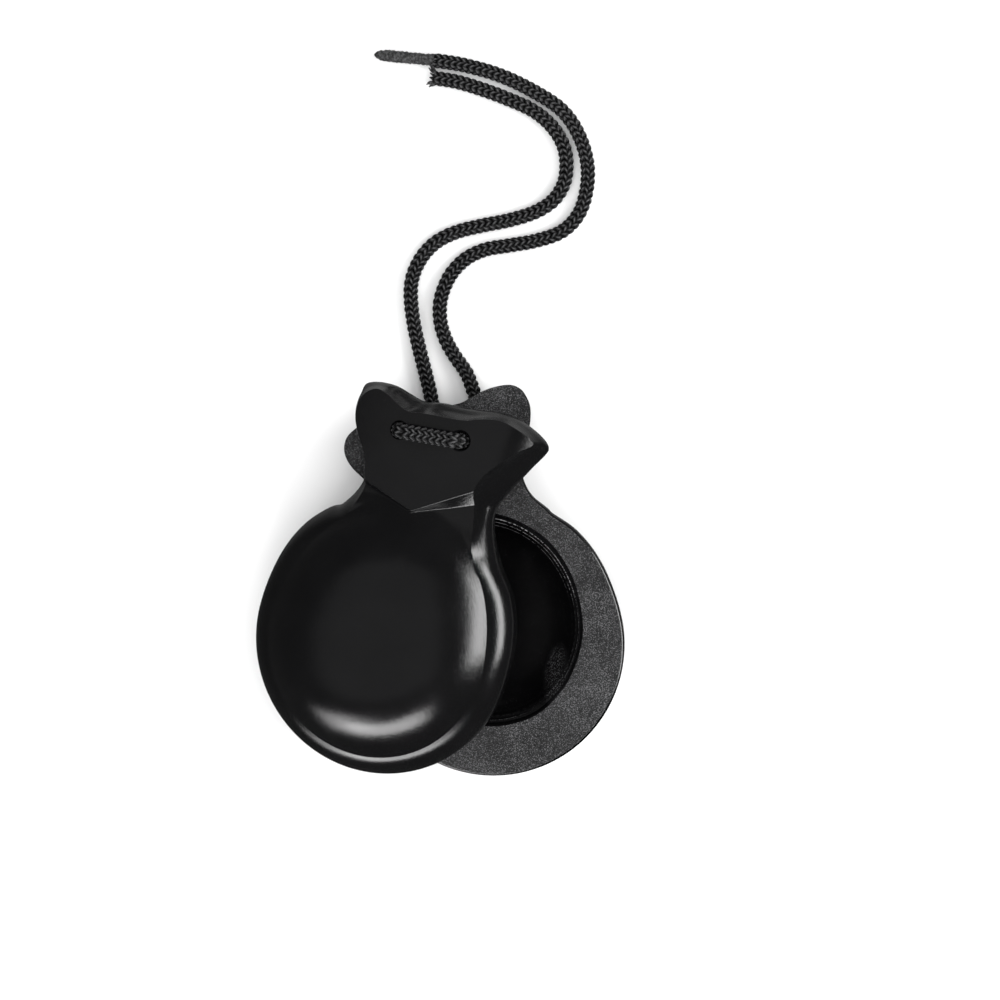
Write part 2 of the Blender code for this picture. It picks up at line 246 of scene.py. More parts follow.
# Loose yarns at the short tail's end: across the cord, up, how far out, lean across, length
LOOSE_YARNS = (
    (-1.35, 0.3, 0.2, -1.5, 2.1), (-1.2, -0.3, 0.1, -0.9, 1.5), (-1.0, 0.7, 0.2, -0.6, 1.2),
    (-0.6, 0.1, 0.0, -0.2, 0.8), (-0.2, 0.6, 0.0, 0.3, 0.7), (0.3, -0.2, 0.0, -0.1, 0.7),
    (0.7, 0.5, 0.1, 0.5, 1.0), (1.1, 0.1, 0.2, 0.4, 1.1), (1.3, -0.4, 0.1, 0.8, 0.8),
    (1.25, 0.5, 0.1, 0.1, 0.8),
)
YARN_PROFILE = ((0.0, 0.3), (0.35, 0.32), (0.7, 0.24), (1.0, 0.1))  # share of its length, radius
YARN_SIDES = 7
YARN_ROOT = 0.7  # length inside the braid

# The braid: columns of V stitches round the cord, each stitch this long
BRAID_COLUMNS = 5
STITCH_PITCH = 1.48
STITCH_SLANT = 0.62  # how far a V's arms reach along the cord, in pitches
STITCH_RELIEF = 0.95
SAMPLES_PER_STITCH = 9
SAMPLES_PER_COLUMN = 12
END_ROUNDING = 0.5
END_NARROWING = 0.16  # the least share of its section that a rounded end keeps
UP = np.array((0.0, 0.0, 1.0))


def frames_along(path):
    """Tangents, and side and top directions that turn as little as they can, along a path."""
    tangents = np.gradient(path, axis=0)
    tangents /= np.linalg.norm(tangents, axis=1)[:, None]
    side = np.cross(tangents[0], (0.0, 0.0, 1.0))
    if np.linalg.norm(side) < 0.2:
        side = np.cross(tangents[0], (0.0, 1.0, 0.0))
    side /= np.linalg.norm(side)
    sides = [side]
    for tangent in tangents[1:]:
        side = sides[-1] - tangent * np.dot(sides[-1], tangent)
        sides.append(side / np.linalg.norm(side))
    sides = np.array(sides)
    return tangents, sides, np.cross(sides, tangents)


def stitch_relief(around, along):
    """The braid's height, and the painted light on its yarns: painted highlight along the yarns' crests and
    painted shade between yarns. Each is 0 to 1: around in turns, along in pitches.
    """
    column = around * BRAID_COLUMNS
    across = np.abs(column - np.floor(column) - 0.5) * 2  # 0 on the V's middle line, 1 between columns
    phase = along + across * STITCH_SLANT + 0.5 * (np.floor(column) % 2)
    lobe = np.abs(np.modf(phase + 1000)[0] - 0.5) * 2  # 0 on the yarn's crest, 1 between yarns
    yarn = np.sqrt(np.clip(1 - 0.985 * lobe**2.2, 0, 1))
    arm = np.sqrt(np.clip(1 - 0.9 * (2 * across - 1) ** 2, 0, 1))
    # The second value is painted light: a painted highlight along each yarn's middle, fading to painted shade
    # between yarns and columns
    return yarn * (0.45 + 0.55 * arm), (1 - lobe) ** 1.4 * (0.2 + 0.8 * arm)


def braid(name, points, material, phase=0.0, ends=(True, True)):
    """A length of braided cord along points, with its yarns modelled; ends says which ends are rounded."""
    path = even(np.asarray(points, float), STITCH_PITCH / SAMPLES_PER_STITCH)
    _, sides, tops = frames_along(path)
    gaps = np.linalg.norm(np.diff(path, axis=0), axis=1)
    along = np.concatenate(([0], np.cumsum(gaps)))
    count = BRAID_COLUMNS * SAMPLES_PER_COLUMN
    around = np.arange(count) / count
    grid_around, grid_along = np.meshgrid(around, along / STITCH_PITCH + phase)
    relief, pale = stitch_relief(grid_around, grid_along)
    radius = CORD_DIAMETER / 2 - STITCH_RELIEF * (1 - relief)
    from_end = np.full_like(along, END_ROUNDING)
    if ends[0]:
        from_end = np.minimum(from_end, along)
    if ends[1]:
        from_end = np.minimum(from_end, along[-1] - along)
    closing = np.sqrt(np.clip(1 - (1 - from_end / END_ROUNDING) ** 2, END_NARROWING, 1))
    radius = radius * closing[:, None]
    angle = 2 * np.pi * around
    ring = np.cos(angle)[None, :, None] * sides[:, None, :] + np.sin(angle)[None, :, None] * tops[:, None, :]
    vertices, faces = capped_tube(path[:, None, :] + ring * radius[:, :, None], path[0], path[-1])
    made = mesh_object(name, vertices, faces, [material])
    # Painted highlight on the yarns' crests and painted shade between them, stored for the yarn's colour
    painted_crest_light = made.data.attributes.new("painted_crest_light", "FLOAT", "POINT")
    painted_crest_light.data.foreach_set("value", np.append(pale.ravel(), (0.1, 0.1)).astype(np.float32))
    return made, path


# ---------------------------------------------------------------- materials

# The hollow is an oval, nearer to the ear than the bowl's middle
HOLLOW_Y = 6.0
HOLLOW_HALF_WIDTH = 22.0
HOLLOW_HALF_LENGTH = 24.4


class Nodes:
    """A material being built: short names for the node calls that every finish repeats."""

    def __init__(self, name):
        self.material = bpy.data.materials.new(name)
        self.material.use_nodes = True
        self.tree = self.material.node_tree
        self.shader = self.tree.nodes["Principled BSDF"]
        self.place = self.add("ShaderNodeTexCoord").outputs["Object"]

    def add(self, kind, **settings):
        node = self.tree.nodes.new(kind)
        for name, value in settings.items():
            setattr(node, name, value)
        return node

    def link(self, output, socket):
        self.tree.links.new(output, socket)

    def put(self, socket, value):
        """Sets or links a socket."""
        if isinstance(value, bpy.types.NodeSocket):
            self.link(value, socket)
        else:
            socket.default_value = value

    def noise(self, size, detail=3.0, roughness=0.5, stretch=None):
        """Noise with features of about this size in millimetres, from 0 to 1."""
        node = self.add("ShaderNodeTexNoise")
        node.inputs["Scale"].default_value = 1 / (size * MM)
        node.inputs["Detail"].default_value = detail
        node.inputs["Roughness"].default_value = roughness
        place = self.place
        if stretch:
            mapping = self.add("ShaderNodeMapping")
            mapping.inputs["Scale"].default_value = stretch
            self.link(place, mapping.inputs["Vector"])
            place = mapping.outputs["Vector"]
        self.link(place, node.inputs["Vector"])
        return node.outputs["Fac"]

    def cells(self, size):
        """Distance to the nearest of scattered points about this many millimetres apart."""
        node = self.add("ShaderNodeTexVoronoi")
        node.inputs["Scale"].default_value = 1 / (size * MM)
        self.link(self.place, node.inputs["Vector"])
        return node.outputs["Distance"]

    def ramp(self, value, *stops):
        """Maps a value through (position, level) stops."""
        node = self.add("ShaderNodeValToRGB")
        elements = node.color_ramp.elements
        while len(elements) < len(stops):
            elements.new(0.5)
        for element, (position, level) in zip(elements, stops):
            element.position = position
            element.color = (level, level, level, 1.0)
        self.link(value, node.inputs["Fac"])
        return node.outputs["Color"]

    def maths(self, operation, a, b=0.0, c=0.0):
        node = self.add("ShaderNodeMath", operation=operation)
        for socket, value in zip(node.inputs, (a, b, c)):
            self.put(socket, value)
        return node.outputs["Value"]

    def between(self, value, low, high):
        """A 0 to 1 value spread over low to high."""
        return self.maths("MULTIPLY_ADD", value, high - low, low)

    def band(self, value, middle, width):
        """1 where the value is within width of middle, else 0."""
        node = self.add("ShaderNodeMath", operation="COMPARE")
        self.put(node.inputs[0], value)
        node.inputs[1].default_value = middle
        node.inputs[2].default_value = width
        return node.outputs["Value"]

    def mix_colours(self, share, a, b):
        node = self.add("ShaderNodeMix", data_type="RGBA")
        self.put(node.inputs["Factor"], share)
        self.put(node.inputs[6], a if isinstance(a, bpy.types.NodeSocket) else (*a, 1.0))
        self.put(node.inputs[7], b if isinstance(b, bpy.types.NodeSocket) else (*b, 1.0))
        return node.outputs[2]

    def bump(self, height, depth, below=None):
        """Adds a bump of this depth in millimetres, over another bump."""
        node = self.add("ShaderNodeBump")
        node.inputs["Distance"].default_value = depth * MM
        self.link(height, node.inputs["Height"])
        if below:
            self.link(below, node.inputs["Normal"])
        return node.outputs["Normal"]

    def finish(self, **sockets):
        for name, value in sockets.items():
            self.put(self.shader.inputs[name.replace("_", " ").title().replace("Ior", "IOR")], value)
        return self.material


def lacquer():
    """Black gloss lacquer, rubbed by hand: long ripples, a fine orange peel and short rubbing marks."""
    made = Nodes("black_lacquer_gloss")
    cloud = made.noise(9, 3)
    peel = made.noise(0.5, 2)
    ripple = made.noise(5.0, 2, 0.4)
    rubbing = made.noise(0.35, 4, 0.7, (1.0, 0.16, 1.0))
    scuffs = made.ramp(made.noise(1.3, 6, 0.75, (1, 0.12, 1)), (0.62, 0.0), (0.75, 1.0))
    roughness = made.maths("ADD", made.between(cloud, 0.11, 0.2), made.maths("MULTIPLY", scuffs, 0.07))
    colour = made.mix_colours(cloud, (0.0022, 0.0022, 0.0024), (0.0042, 0.0042, 0.0045))
    bump = made.bump(ripple, 0.03)
    bump = made.bump(peel, 0.007, bump)
    bump = made.bump(rubbing, 0.03, bump)
    return made.finish(base_color=colour, roughness=roughness, normal=bump, ior=1.5)


def inner_lacquer():
    """The inner face: thin lacquer over grain and pitted all over, with painted glints: pale specks in its
    colour for the way its rough surface catches the light.
    """
    made = Nodes("black_lacquer_inner")
    grain = made.noise(0.7, 5, 0.7, (1.5, 0.5, 1))
    pits = made.cells(0.32)
    cloud = made.noise(6, 3)
    fine = made.noise(0.26, 2, 0.6)
    patch = made.maths("MULTIPLY_ADD", cloud, 0.16, made.maths("SUBTRACT", fine, 0.08))
    # Painted glints: pale specks in the colour where the rough face would catch the light
    painted_glints = made.ramp(patch, (0.53, 0.0), (0.62, 1.0))
    colour = made.mix_colours(painted_glints, (0.005, 0.005, 0.0053), (0.085, 0.085, 0.088))
    roughness = made.between(cloud, 0.26, 0.42)
    bump = made.bump(grain, 0.07)
    bump = made.bump(pits, 0.07, bump)
    bump = made.bump(fine, 0.05, bump)
    return made.finish(base_color=colour, roughness=roughness, normal=bump, ior=1.5)


def hollow_lacquer():
    """The hollow: dark gloss with specks of dust, a painted highlight along the tool's rings under the edge
    on its upper right side, and a painted speckled reflection low on the right.
    """
    made = Nodes("black_lacquer_hollow")
    specks = made.noise(0.22, 3, 0.7)
    cloud = made.noise(5, 3)
    split = made.add("ShaderNodeSeparateXYZ")
    made.link(made.place, split.inputs["Vector"])
    across = made.maths("MULTIPLY", split.outputs["X"], 1 / (HOLLOW_HALF_WIDTH * MM))
    middle = -HOLLOW_Y / HOLLOW_HALF_LENGTH
    along = made.maths("MULTIPLY_ADD", split.outputs["Y"], 1 / (HOLLOW_HALF_LENGTH * MM), middle)
    reach = made.maths("ADD", made.maths("POWER", across, 2.0), made.maths("POWER", along, 2.0))
    reach = made.maths("SQRT", reach)
    rings = made.maths("MAXIMUM", made.band(reach, 0.954, 0.004), made.band(reach, 0.921, 0.003))
    rings = made.maths("MAXIMUM", rings, made.maths("MULTIPLY", made.band(reach, 0.885, 0.003), 0.4))
    # The rings' pale colour is a painted highlight, kept to the upper right side of the hollow where they
    # catch the light
    lit_side = made.maths("ADD", made.maths("MULTIPLY", across, 0.62), made.maths("MULTIPLY", along, 0.78))
    rings = made.maths("MULTIPLY", rings, made.ramp(lit_side, (0.5, 0.05), (0.86, 1.0)))
    broken = made.ramp(made.noise(0.6, 4, 0.8), (0.47, 0.0), (0.53, 1.0))
    dust = made.ramp(made.maths("MULTIPLY_ADD", cloud, 0.2, specks), (0.77, 0.0), (0.84, 1.0))
    # The painted reflection, speckled, low on the right: its distance across and along the line it follows
    reflection_x = made.maths("MULTIPLY_ADD", across, 0.88, made.maths("MULTIPLY_ADD", along, -0.48, -0.797))
    reflection_y = made.maths("MULTIPLY_ADD", across, 0.48, made.maths("MULTIPLY_ADD", along, 0.88, 0.33))
    reflection_x = made.maths("MULTIPLY", made.maths("POWER", reflection_x, 2.0), 5.0)
    patch = made.maths("ADD", reflection_x, made.maths("POWER", reflection_y, 2.0))
    patch = made.ramp(patch, (0.0, 1.0), (0.09, 0.0))
    # Painted reflection: noise specks within that patch
    rubbed = made.ramp(made.noise(0.3, 3, 0.8), (0.5, 0.0), (0.62, 1.0))
    rubbed = made.maths("MULTIPLY", rubbed, made.maths("MULTIPLY", patch, 0.17))
    # Pale colour: painted highlight on the rings, the painted reflection low on the right, and real dust
    # specks
    painted_light_and_dust = made.maths("MULTIPLY", rings, broken)
    painted_light_and_dust = made.maths("MAXIMUM", painted_light_and_dust, made.maths("MULTIPLY", dust, 0.1))
    painted_light_and_dust = made.maths("MAXIMUM", painted_light_and_dust, rubbed)
    colour = made.mix_colours(painted_light_and_dust, (0.0016, 0.0016, 0.0018), (0.4, 0.4, 0.41))
    roughness = made.between(cloud, 0.14, 0.3)
    bump = made.bump(specks, 0.05)
    return made.finish(base_color=colour, roughness=roughness, normal=bump, ior=1.5)


def braid_yarn():
    """Black yarn with painted light: a painted highlight along the crests of the stitches and painted shade,
    nearly black, between stitches.
    """
    made = Nodes("black_braid_yarn")
    fibres = made.noise(0.12, 3, 0.6)
    cloud = made.noise(0.9, 2)
    painted_crest_light = made.add("ShaderNodeAttribute", attribute_name="painted_crest_light").outputs["Fac"]
    # Painted highlight and painted shade from the stored attribute, varied at random by the cloud noise
    height = made.ramp(painted_crest_light, (0.12, 0.0), (0.5, 0.25), (0.85, 1.0))
    tone = made.maths("MULTIPLY", height, made.between(cloud, 0.35, 1.5))
    colour = made.mix_colours(tone, (0.0006, 0.0006, 0.0007), (0.072, 0.072, 0.074))
    roughness = made.between(fibres, 0.18, 0.34)
    bump = made.bump(fibres, 0.03)
    return made.finish(
        base_color=colour, roughness=roughness, normal=bump, specular_ior_level=0.16, sheen_weight=0.002
    )


def sealed_yarn():
    """The end of the cord where its yarns are melted together: dull, rough and mottled."""
    made = Nodes("black_sealed_yarn")
    lumps = made.noise(0.5, 4, 0.8)
    grains = made.noise(0.16, 2, 0.6)
    mottle = made.ramp(lumps, (0.46, 0.0), (0.57, 1.0))
    colour = made.mix_colours(mottle, (0.002, 0.002, 0.0022), (0.075, 0.075, 0.077))
    bump = made.bump(lumps, 0.3)
    bump = made.bump(grains, 0.12, bump)
    return made.finish(base_color=colour, roughness=made.between(lumps, 0.3, 0.6), normal=bump)


def pale_floor():
    made = Nodes("pale_floor")
    tone = made.noise(40, 2)
    colour = made.mix_colours(tone, (0.86, 0.86, 0.86), (0.875, 0.875, 0.875))
    return made.finish(base_color=colour, roughness=0.85)


LACQUER = lacquer()
INNER = inner_lacquer()
HOLLOW = hollow_lacquer()
YARN = braid_yarn()
SEALED = sealed_yarn()


# ---------------------------------------------------------------- cords first


def tail(name, route, node, phase):
    """A free tail of cord: from the ear's edge along the table to its end."""
    made, path = braid(name, spline(route, 12), YARN, phase, ends=(False, True))
    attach(made, "back")
    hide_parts(node)
    return made, path


def turned(direction, degrees):
    """A flat direction turned anticlockwise."""
    angle = math.radians(degrees)
    x, y = direction
    return np.array((x * math.cos(angle) - y * math.sin(angle), x * math.sin(angle) + y * math.cos(angle)))


def frayed_end(path):
    """Loose ends of yarn that stand out of the short tail's cut end, most of them at its two edges."""
    heading = path[-1] - path[-6]
    heading /= np.linalg.norm(heading)
    side = np.array((-heading[1], heading[0], 0.0))
    angle = 2 * np.pi * np.arange(YARN_SIDES) / YARN_SIDES
    vertices = []
    faces = []
    for across, up, out, lean, length in LOOSE_YARNS:
        root = path[-1] + side * across + UP * up + heading * (out - YARN_ROOT)
        way = heading + side * lean
        way = way / np.linalg.norm(way)
        ring = np.cos(angle)[:, None] * np.cross(way, UP) + np.sin(angle)[:, None] * UP
        start = len(vertices)
        for share, radius in YARN_PROFILE:
            wander = side * (0.15 * math.sin(5 * share + across))
            middle = root + way * (share * (length + YARN_ROOT)) + wander
            vertices.extend(middle + ring * radius)
        walls = quads(len(YARN_PROFILE), YARN_SIDES)
        count = len(vertices) - start
        caps = [range(YARN_SIDES), range(count - 1, count - YARN_SIDES - 1, -1)]
        for face in [*(reversed(wall) for wall in walls), *caps]:
            faces.append(tuple(start + i for i in face))
    made = mesh_object("frayed_end", np.array(vertices), faces, [SEALED])
    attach(made, "back")
    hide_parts("cord_tail_left")
    return made


def sealed_tip(path):
    """The long tail's sealed end: it narrows along the tail's line and is pinched flat and rough."""
    heading = path[-1] - path[-6]
    heading /= np.linalg.norm(heading)
    heading[:2] = turned(heading[:2], TIP_TURN)
    start = path[-1] - heading * TIP_INSIDE
    end = path[-1] + heading * TIP_REACH
    along = np.linspace(0, 1, TIP_ROWS)
    line = start + (end - start) * along[:, None]
    _, sides, tops = frames_along(line)
    angle = 2 * np.pi * np.arange(TIP_SIDES) / TIP_SIDES
    grid_angle, grid_along = np.meshgrid(angle, along * (TIP_INSIDE + TIP_REACH))
    lumps = 0.06 * np.sin(grid_along * 2.9 + 2 * np.sin(grid_angle)) * np.cos(3 * grid_angle + grid_along)
    lumps += 0.05 * np.sin(grid_along * 6.3 + 4 * grid_angle + 1.7 * np.cos(2 * grid_angle))
    lumps += 0.03 * np.sin(grid_along * 11.7 - 7 * grid_angle)
    size = np.interp(along, TIP_SHARES, TIP_RADII)[:, None] * (1 + lumps)
    ring = np.cos(angle)[None, :, None] * sides[:, None, :]
    ring = ring + TIP_FLATNESS * np.sin(angle)[None, :, None] * tops[:, None, :]
    vertices, faces = capped_tube(line[:, None, :] + ring * size[:, :, None], line[0], line[-1])
    made = mesh_object("sealed_tip", vertices, faces, [SEALED])
    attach(made, "back")
    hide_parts("cord_tip")
    return made


def make_tails():
    long_tail, long_path = tail("long_tail", LONG_TAIL, "cord_tail_right", 0.0)
    tip = sealed_tip(long_path)
    short_tail, short_path = tail("short_tail", SHORT_TAIL, "cord_tail_left", 0.3)
    fray = frayed_end(short_path)
    return long_path, short_path


long_path, short_path = make_tails()


# ---------------------------------------------------------------- shells

BOWL_RADIUS = 30.0
SHOULDER_SWELL = 2.9  # how much further the outline reaches beside the neck than at the bowl's bottom
FLANGE_WIDTH = 4.6  # from the outline to the crease round the crown
CREASE_HEIGHT = 8.0
CREASE_BLEND = 2.6  # how softly the crown runs into the neck
CROWN_SWELL = 8.2
CROWN_POWER = 3.6
NECK_HEIGHT = 8.3
NECK_CURVE = 0.006
EAR_START_Y = 20.0
EAR_CURVES = {"left": 0.004, "right": 0.006}
TIP_DROOP = 0.034  # the plate's right tip bends down past this x
TIP_DROOP_X = 12.5
# The line that the rows over the outside close on
SPINE_TOP_Y = 48.0
SPINE_START_Y = 20.0
SPINE_END_Y = 53.5
CONTOUR_STEPS = 8
FACE_ROW_COUNT = 72
FACE_ROW_POWER = 1.7  # closes the rows up near the face's edge
LIP_SHARE = 1.01  # the inner face begins this far out from the hollow's edge
LIP_INSET = 0.2  # and ends this far in from the outline's edge
HOLE_SIDES = 64
SHARP_DEGREES = 32

# The neck and ear, from neck to top on each side: outline, then edge of the raised face. A right point and
# the left point of the same place in its list lie across the neck or ear from each other.
EAR_OUTLINE_RIGHT = (
    (20.1, 26.4), (17.4, 30.6), (15.6, 34.6), (15.3, 38.2), (16.4, 41.4), (18.0, 45.0), (19.9, 49.2),
    (21.6, 52.6), (21.9, 54.4), (20.2, 56.0), (16.2, 57.6), (12.0, 58.5), (8.0, 58.2), (4.6, 57.3),
    (1.0, 56.6),
)
EAR_OUTLINE_LEFT = (
    (-18.9, 26.6), (-16.8, 30.2), (-16.0, 33.8), (-16.8, 37.2), (-18.4, 40.6), (-20.9, 43.8),
    (-22.6, 46.6), (-23.1, 49.6), (-22.9, 52.0), (-22.4, 54.3), (-19.7, 55.5), (-15.8, 55.9),
    (-12.2, 55.3), (-8.6, 54.8), (-4.2, 55.9),
)
EAR_FACE_RIGHT = (
    (16.0, 24.6), (13.8, 29.0), (12.6, 33.4), (11.6, 37.4), (10.7, 40.6), (11.5, 44.4), (13.9, 48.2),
    (17.0, 52.2), (19.4, 54.6), (18.2, 55.9), (14.8, 57.1), (11.6, 57.6), (8.0, 56.8), (4.6, 55.3),
    (1.2, 54.5),
)
# The back shell was carved rounder at one lobe and wider at the other side of the neck
BACK_OUTLINE_RIGHT = (
    (20.1, 26.4), (17.4, 30.6), (15.6, 34.6), (15.3, 38.2), (16.8, 41.6), (18.6, 44.6), (20.2, 47.4),
    (20.9, 50.2), (20.5, 52.6), (19.0, 54.6), (16.0, 56.0), (12.0, 57.2), (8.0, 57.4), (4.6, 57.0),
    (1.0, 56.6),
)
BACK_FACE_RIGHT = (
    (16.0, 24.6), (13.8, 29.0), (12.6, 33.4), (11.8, 37.4), (11.6, 40.9), (12.6, 44.2), (14.8, 47.0),
    (17.0, 50.0), (17.8, 52.4), (16.6, 53.8), (14.0, 54.8), (11.4, 55.6), (8.0, 55.6), (4.6, 54.9),
    (1.2, 54.4),
)
BACK_OUTLINE_LEFT = (
    (-20.3, 26.6), (-17.8, 30.2), (-16.9, 33.8), (-17.2, 37.2), (-18.5, 40.6), (-20.4, 43.8),
    (-21.9, 46.8), (-22.7, 49.8), (-22.5, 52.2), (-21.6, 54.4), (-19.4, 55.9), (-15.4, 56.3),
    (-11.6, 55.8), (-8.0, 54.9), (-4.0, 55.2),
)
EAR_FACE_LEFT = (
    (-16.2, 24.9), (-14.5, 29.4), (-13.9, 33.7), (-14.6, 37.3), (-16.3, 40.7), (-18.9, 44.0),
    (-20.6, 46.9), (-21.1, 49.6), (-20.9, 51.6), (-19.7, 53.6), (-17.6, 54.9), (-15.0, 54.5),
    (-11.9, 53.3), (-9.0, 52.6), (-5.0, 53.5),
)

# Across the flange: share of the way from outline to crease or face edge, and share of its height
BEAD_PROFILE = (
    (0.115, 0.0), (0.04, 0.03), (0.005, 0.12), (0.0, 0.375), (0.04, 0.51), (0.16, 0.64), (0.32, 0.76),
    (0.54, 0.87), (0.78, 0.95), (1.0, 1.0),
)
FLANK_PROFILE = (
    (0.06, 0.0), (0.02, 0.025), (0.0, 0.09), (0.01, 0.2), (0.05, 0.28), (0.15, 0.36), (0.32, 0.45),
    (0.55, 0.57), (0.8, 0.77), (1.0, 1.0),
)
# The V: the point of the plate, how far its foot lies below, and the slopes of edge and foot on each side
CHIN = (-1.2, 31.9)
CHIN_STEP = 0.45
EDGE_SLOPES = {"left": -0.22, "right": 0.754}
FOOT_SLOPES = {"left": -0.17, "right": 0.49}
V_ROUNDING = 0.16  # half the width of the rounding along the V's lines

# Scale of the oval and depth: a turned step and two tool rings under the edge, then the bowl
HOLLOW_PROFILE = (
    (1.006, 0.0), (1.0, 0.05), (0.994, 0.2), (0.985, 0.9), (0.98, 1.5), (0.968, 1.68), (0.956, 1.6),
    (0.95, 1.72), (0.942, 2.2), (0.934, 2.32), (0.928, 2.24), (0.92, 2.5), (0.905, 3.3), (0.87, 4.8),
    (0.81, 6.5), (0.72, 7.8), (0.6, 8.6), (0.45, 9.1), (0.3, 9.3), (0.15, 9.38),
)
HOLLOW_DEPTH = 9.4
HOLLOW_SIDES = 240


def crown_radius(angle):
    """The crown's outline, from the middle of the bowl: it swells towards the neck."""
    swell = smooth((np.degrees(angle) - 2) / 100) ** 1.2
    return BOWL_RADIUS - FLANGE_WIDTH + CROWN_SWELL * swell


def contours(outline_right, outline_left, face_right):
    """The outline, and the crease and raised face's edge: from the bottom up the right and down the left."""
    outline, face = [(0.0, -BOWL_RADIUS)], [(0.0, FLANGE_WIDTH - BOWL_RADIUS)]
    for degrees in range(-80, 51, 10):
        angle = math.radians(degrees)
        outer = BOWL_RADIUS + SHOULDER_SWELL * float(smooth(degrees / 54))
        inner = float(crown_radius(angle))
        outline.append((outer * math.cos(angle), outer * math.sin(angle)))
        face.append((inner * math.cos(angle), inner * math.sin(angle)))
    mirrored = [(-x, y) for x, y in outline[1:]]
    face_left = [(-x, y) for x, y in face[1:]]
    outline += [*outline_right, *reversed(outline_left), *reversed(mirrored)]
    face += [*face_right, *reversed(EAR_FACE_LEFT), *reversed(face_left)]
    return spline(outline, CONTOUR_STEPS, closed=True), spline(face, CONTOUR_STEPS, closed=True)


def crown_height(x, y):
    """The crown: a bun, with an even slope down to the neck."""
    angle = np.arctan2(y, np.abs(x))
    reach = np.hypot(x, y) / crown_radius(angle)
    bulge = 1 - np.clip(reach, 0, 1.2) ** CROWN_POWER
    return CREASE_HEIGHT + (SHELL_DEPTH - CREASE_HEIGHT) * bulge


def rounded_clip(u):
    """0 below 0 and u above it, rounded where they meet."""
    near = (np.clip(u, -V_ROUNDING, V_ROUNDING) + V_ROUNDING) ** 2 / (4 * V_ROUNDING)
    return np.where(u > V_ROUNDING, u, near)


def ear_height(x, y):
    """The neck, and the plate that stands on it behind its V."""
    neck = NECK_HEIGHT - NECK_CURVE * x * x
    plate = EAR_HEIGHT - np.where(x > 0, EAR_CURVES["right"], EAR_CURVES["left"]) * x * x
    plate = plate - TIP_DROOP * np.clip(x - TIP_DROOP_X, 0, None) ** 2
    out = x - CHIN[0]
    over_edge = y - CHIN[1] - out * np.where(out > 0, EDGE_SLOPES["right"], EDGE_SLOPES["left"])
    over_foot = y - CHIN[1] + CHIN_STEP - out * np.where(out > 0, FOOT_SLOPES["right"], FOOT_SLOPES["left"])
    rise = (rounded_clip(over_foot) - rounded_clip(over_edge)) / (over_foot - over_edge)
    return np.where(y > EAR_START_Y, neck + (plate - neck) * np.clip(rise, 0, 1), 0.0)


def soft_maximum(a, b, width):
    """The greater of two heights, rounded where they are within width of each other."""
    near = np.clip(width - np.abs(a - b), 0, None) / width
    return np.maximum(a, b) + near * near * width / 4


def outer_height(x, y):
    return soft_maximum(crown_height(x, y), ear_height(x, y), CREASE_BLEND)


def shell_rows(outline_right, outline_left, face_right):
    """Closed rows over the outside, from the inner face's edge to the middle line.

    Each point has its place, the place on the face's edge or face that sets its height, and its share of
    that height."""
    outline, face = contours(outline_right, outline_left, face_right)
    count = len(outline)
    bead = spline(BEAD_PROFILE, 4)
    flank = spline(FLANK_PROFILE, 4)
    ear = smooth((outline[:, 1] - 24) / 16)
    rows = []
    for bead_point, flank_point in zip(bead, flank):
        share = bead_point[0] + (flank_point[0] - bead_point[0]) * ear
        height = bead_point[1] + (flank_point[1] - bead_point[1]) * ear
        place = outline + (face - outline) * share[:, None]
        rows.append(np.column_stack((place, face, height)))
    step = face - rows[0][:, :2]
    inset = rows[0][:, :2] + step / np.linalg.norm(step, axis=1)[:, None] * LIP_INSET
    rows.insert(0, np.column_stack((inset, face, np.zeros(count))))
    twin = (face[:, 1] + np.roll(face[::-1, 1], 1)) / 2
    rise = smooth((twin - SPINE_START_Y) / (SPINE_END_Y - SPINE_START_Y))
    spine = np.column_stack((np.zeros(count), SPINE_TOP_Y * rise))
    for row in range(1, FACE_ROW_COUNT + 1):
        share = (row / FACE_ROW_COUNT) ** FACE_ROW_POWER
        place = face + (spine - face) * share
        rows.append(np.column_stack((place, place, np.ones(count))))
    return rows


def height_over(x, y, share):
    """Height of a point of the rows; below the neck the crease's height is the least."""
    on_ear = smooth((y - 27) / 6)
    top = outer_height(x, y)
    low = np.maximum(top, CREASE_HEIGHT)
    return (low + (top - low) * on_ear) * share


def add_ring(bm, points):
    """A ring of vertices at points in millimetres."""
    return [bm.verts.new(point) for point in (np.asarray(points) * MM).tolist()]


def skin(bm, lower, upper, material=0):
    """Faces from one ring of vertices to the next."""
    count = len(lower)
    for i in range(count):
        j = (i + 1) % count
        face = bm.faces.new((lower[i], lower[j], upper[j], upper[i]))
        face.material_index = material
        face.smooth = True


def hollow_rows():
    """Closed rows of points down the hollow, from its edge to its floor."""
    angle = -math.pi / 2 + 2 * math.pi * np.arange(HOLLOW_SIDES) / HOLLOW_SIDES
    wander = 0.10 * np.sin(3 * angle + 0.4) + 0.07 * np.sin(7 * angle + 1.9) + 0.04 * np.sin(13 * angle)
    rows = []
    for share, depth in spline(HOLLOW_PROFILE, 3):
        x = (HOLLOW_HALF_WIDTH + wander) * share * np.cos(angle)
        y = HOLLOW_Y + (HOLLOW_HALF_LENGTH + wander) * share * np.sin(angle)
        rows.append(np.column_stack((x, y, np.full(HOLLOW_SIDES, max(depth, 0.0)))))
    return rows


